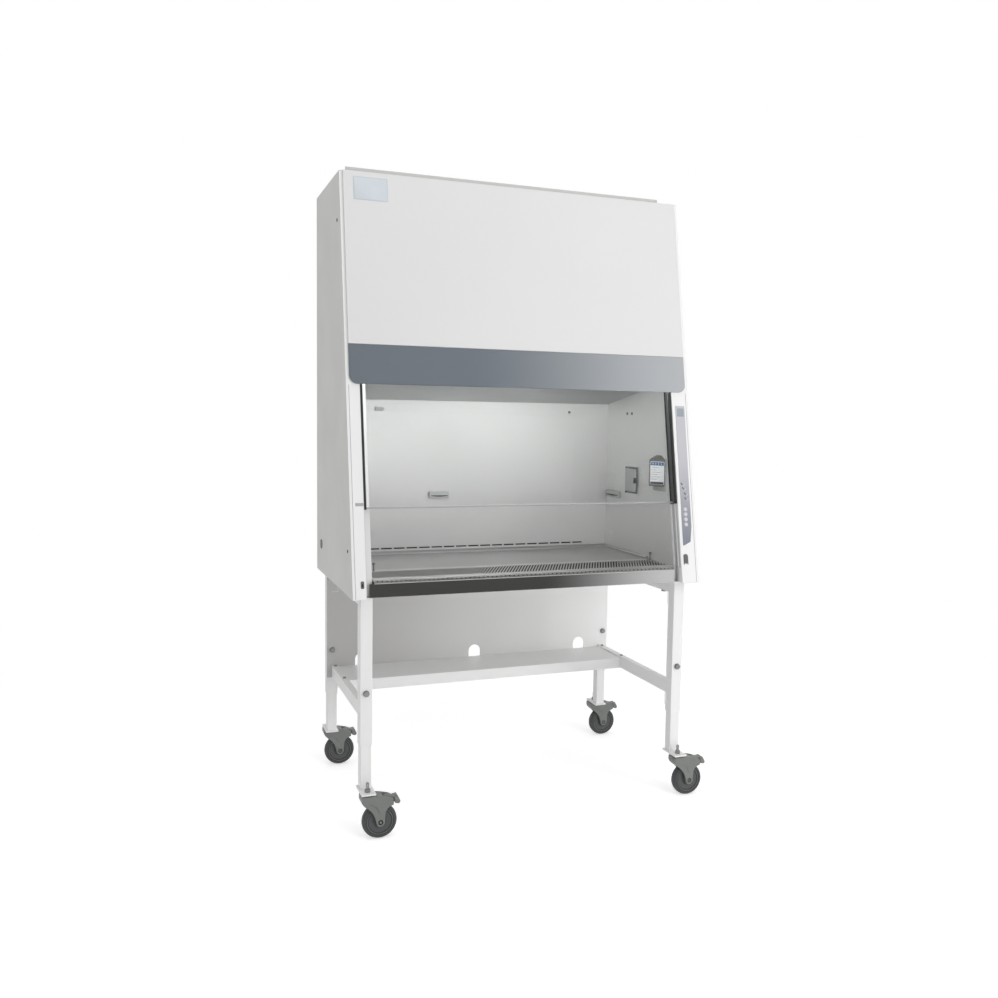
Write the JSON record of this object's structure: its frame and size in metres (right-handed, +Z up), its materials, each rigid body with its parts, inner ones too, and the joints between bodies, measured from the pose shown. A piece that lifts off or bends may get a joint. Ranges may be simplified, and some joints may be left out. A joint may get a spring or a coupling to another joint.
{
  "type": "biosafety cabinet",
  "caption": "Floor-standing class II biosafety cabinet with a leaning front, sliding glass sash, stainless chamber and a height-adjustable caster stand.",
  "frame": {"origin": "centre of the whole object's footprint, on the floor, with the casters pointing to the right", "axes": "+X to the user's right across the front, +Y from the front to the back, +Z up"},
  "size_m": [1.4394, 0.818, 2.3924],
  "materials": {
    "panel_paint": "satin off-white powder coat",
    "header_paint": "satin white powder coat",
    "band_paint": "satin grey-blue powder coat",
    "stainless": "brushed stainless sheet",
    "diffuser_sheet": "perforated mill-finish sheet",
    "zinc_steel": "zinc-plated steel",
    "filter_pack": "pleated filter paper in a pale frame",
    "motor_casting": "cast aluminium",
    "weight_iron": "bare cast iron",
    "lamp_glass": "opal tube",
    "rail_aluminium": "satin anodised",
    "seal_rubber": "matte black",
    "sash_glass": "clear laminated safety glass",
    "overlay_film": "satin printed film",
    "display_plastic": "moulded grey",
    "fitting_plastic": "moulded grey",
    "button_plastic": "pale moulded plastic",
    "valve_brass": "nickel-free brass, turned",
    "handle_steel": "plated lever",
    "stand_paint": "satin off-white powder coat",
    "caster_plastic": "moulded greenish grey",
    "pedal_plastic": "moulded dark grey",
    "wheel_tread": "non-marking grey rubber"
  },
  "bodies": {
    "cabinet": {"side_panel_left": "panel_paint", "side_panel_right": "panel_paint", "rear_panel": "panel_paint", "power_inlet": "fitting_plastic", "top_panel": "panel_paint", "exhaust_guard": "diffuser_sheet", "pillar_left": "panel_paint", "pillar_right": "panel_paint", "header_panel": "header_paint", "header_band": "band_paint", "lamp": "lamp_glass", "base_pan": "stainless", "front_trim": "stainless", "liner_left": "stainless", "liner_right": "stainless", "liner_back": "stainless", "supply_diffuser": "diffuser_sheet", "guide_tracks": "rail_aluminium", "shaft_bearings": "zinc_steel", "hepa_filters": "filter_pack", "plenum_box": "zinc_steel", "blower_housing": "zinc_steel", "blower_motor": "motor_casting", "console_overlay": "overlay_film", "display_unit": "display_plastic", "outlet_box": "fitting_plastic", "chamber_fittings": "fitting_plastic", "drain_valve": "valve_brass", "side_frames": "stand_paint", "stand_back_panel": "stand_paint", "stand_shelf": "stand_paint", "stand_bolts": "zinc_steel"},
    "sash": {"sash_glass": "sash_glass", "sash_frame": "rail_aluminium", "sash_wipers": "seal_rubber"},
    "counterweights": {"counterweights": "weight_iron"},
    "sync_shaft": {"sync_shaft": "zinc_steel"},
    "blower_wheel": {"blower_wheel": "motor_casting"},
    "front_grille": {"front_grille": "stainless"},
    "work_surface": {"work_surface": "stainless"},
    "outlet_cover": {"outlet_cover": "fitting_plastic"},
    "drain_handle": {"drain_handle": "handle_steel"},
    "legs": {"inner_legs": "stand_paint", "caster_stems": "zinc_steel"},
    "button_1": {"button_1": "button_plastic"},
    "button_2": {"button_2": "button_plastic"},
    "button_3": {"button_3": "button_plastic"},
    "button_4": {"button_4": "button_plastic"},
    "caster_front_left": {"caster_front_left": "caster_plastic"},
    "wheel_front_left": {"wheel_front_left": "wheel_tread"},
    "pedal_front_left": {"pedal_front_left": "pedal_plastic"},
    "caster_front_right": {"caster_front_right": "caster_plastic"},
    "wheel_front_right": {"wheel_front_right": "wheel_tread"},
    "pedal_front_right": {"pedal_front_right": "pedal_plastic"},
    "caster_rear_left": {"caster_rear_left": "caster_plastic"},
    "wheel_rear_left": {"wheel_rear_left": "wheel_tread"},
    "pedal_rear_left": {"pedal_rear_left": "pedal_plastic"},
    "caster_rear_right": {"caster_rear_right": "caster_plastic"},
    "wheel_rear_right": {"wheel_rear_right": "wheel_tread"},
    "pedal_rear_right": {"pedal_rear_right": "pedal_plastic"}
  },
  "joints": [
    {"name": "sash_slide", "type": "slide", "parent": "cabinet", "child": "sash", "axis": [0, 0.1719, 0.9851], "range_m": [-0.26, 0.38]},
    {"name": "counterweight_slide", "type": "slide", "parent": "cabinet", "child": "counterweights", "axis": [0, 0, 1], "range_m": [-0.38, 0.26]},
    {"name": "sync_shaft_spin", "type": "hinge", "parent": "cabinet", "child": "sync_shaft", "pos_m": [-0.0277, -0.10314, 2.34], "axis": [1, 0, 0], "range_deg": [-880, 600]},
    {"name": "blower_spin", "type": "hinge", "parent": "cabinet", "child": "blower_wheel", "pos_m": [-0.0277, 0.18715, 2.0164], "axis": [0, 1, 0], "continuous": true},
    {"name": "grille_lift", "type": "slide", "parent": "cabinet", "child": "front_grille", "axis": [0, 0, 1], "range_m": [0, 0.06]},
    {"name": "work_surface_lift", "type": "slide", "parent": "cabinet", "child": "work_surface", "axis": [0, 0, 1], "range_m": [0, 0.06]},
    {"name": "outlet_cover_hinge", "type": "hinge", "parent": "cabinet", "child": "outlet_cover", "pos_m": [0.5721, 0.0558, 1.245], "axis": [0, 0, -1], "range_deg": [0, 120]},
    {"name": "drain_handle_turn", "type": "hinge", "parent": "cabinet", "child": "drain_handle", "pos_m": [-0.3277, 0.1285, 0.8294], "axis": [0, 1, 0], "range_deg": [0, 90]},
    {"name": "leg_extension", "type": "slide", "parent": "cabinet", "child": "legs", "axis": [0, 0, -1], "range_m": [0, 0.15]},
    {"name": "button_1_press", "type": "slide", "parent": "cabinet", "child": "button_1", "axis": [0, 0.9851, -0.1719], "range_m": [0, 0.001], "stiffness_N_per_m": 400},
    {"name": "button_2_press", "type": "slide", "parent": "cabinet", "child": "button_2", "axis": [0, 0.9851, -0.1719], "range_m": [0, 0.001], "stiffness_N_per_m": 400},
    {"name": "button_3_press", "type": "slide", "parent": "cabinet", "child": "button_3", "axis": [0, 0.9851, -0.1719], "range_m": [0, 0.001], "stiffness_N_per_m": 400},
    {"name": "button_4_press", "type": "slide", "parent": "cabinet", "child": "button_4", "axis": [0, 0.9851, -0.1719], "range_m": [0, 0.001], "stiffness_N_per_m": 400},
    {"name": "caster_front_left_swivel", "type": "hinge", "parent": "legs", "child": "caster_front_left", "pos_m": [-0.6591, -0.382, 0.165], "axis": [0, 0, 1], "continuous": true},
    {"name": "wheel_front_left_spin", "type": "hinge", "parent": "caster_front_left", "child": "wheel_front_left", "pos_m": [-0.6166, -0.382, 0.0635], "axis": [0, 1, 0], "continuous": true},
    {"name": "pedal_front_left_press", "type": "hinge", "parent": "caster_front_left", "child": "pedal_front_left", "pos_m": [-0.5971, -0.382, 0.143], "axis": [0, 1, 0], "range_deg": [0, 10]},
    {"name": "caster_front_right_swivel", "type": "hinge", "parent": "legs", "child": "caster_front_right", "pos_m": [0.6037, -0.382, 0.165], "axis": [0, 0, 1], "continuous": true},
    {"name": "wheel_front_right_spin", "type": "hinge", "parent": "caster_front_right", "child": "wheel_front_right", "pos_m": [0.6462, -0.382, 0.0635], "axis": [0, 1, 0], "continuous": true},
    {"name": "pedal_front_right_press", "type": "hinge", "parent": "caster_front_right", "child": "pedal_front_right", "pos_m": [0.6657, -0.382, 0.143], "axis": [0, 1, 0], "range_deg": [0, 10]},
    {"name": "caster_rear_left_swivel", "type": "hinge", "parent": "legs", "child": "caster_rear_left", "pos_m": [-0.6591, 0.382, 0.165], "axis": [0, 0, 1], "continuous": true},
    {"name": "wheel_rear_left_spin", "type": "hinge", "parent": "caster_rear_left", "child": "wheel_rear_left", "pos_m": [-0.6166, 0.382, 0.0635], "axis": [0, 1, 0], "continuous": true},
    {"name": "pedal_rear_left_press", "type": "hinge", "parent": "caster_rear_left", "child": "pedal_rear_left", "pos_m": [-0.5971, 0.382, 0.143], "axis": [0, 1, 0], "range_deg": [0, 10]},
    {"name": "caster_rear_right_swivel", "type": "hinge", "parent": "legs", "child": "caster_rear_right", "pos_m": [0.6037, 0.382, 0.165], "axis": [0, 0, 1], "continuous": true},
    {"name": "wheel_rear_right_spin", "type": "hinge", "parent": "caster_rear_right", "child": "wheel_rear_right", "pos_m": [0.6462, 0.382, 0.0635], "axis": [0, 1, 0], "continuous": true},
    {"name": "pedal_rear_right_press", "type": "hinge", "parent": "caster_rear_right", "child": "pedal_rear_right", "pos_m": [0.6657, 0.382, 0.143], "axis": [0, 1, 0], "range_deg": [0, 10]}
  ],
  "couplings": [
    {"joint": "counterweight_slide", "follows": "sash_slide", "ratio": -1},
    {"joint": "sync_shaft_spin", "follows": "sash_slide", "rad_per_m": -40}
  ]
}
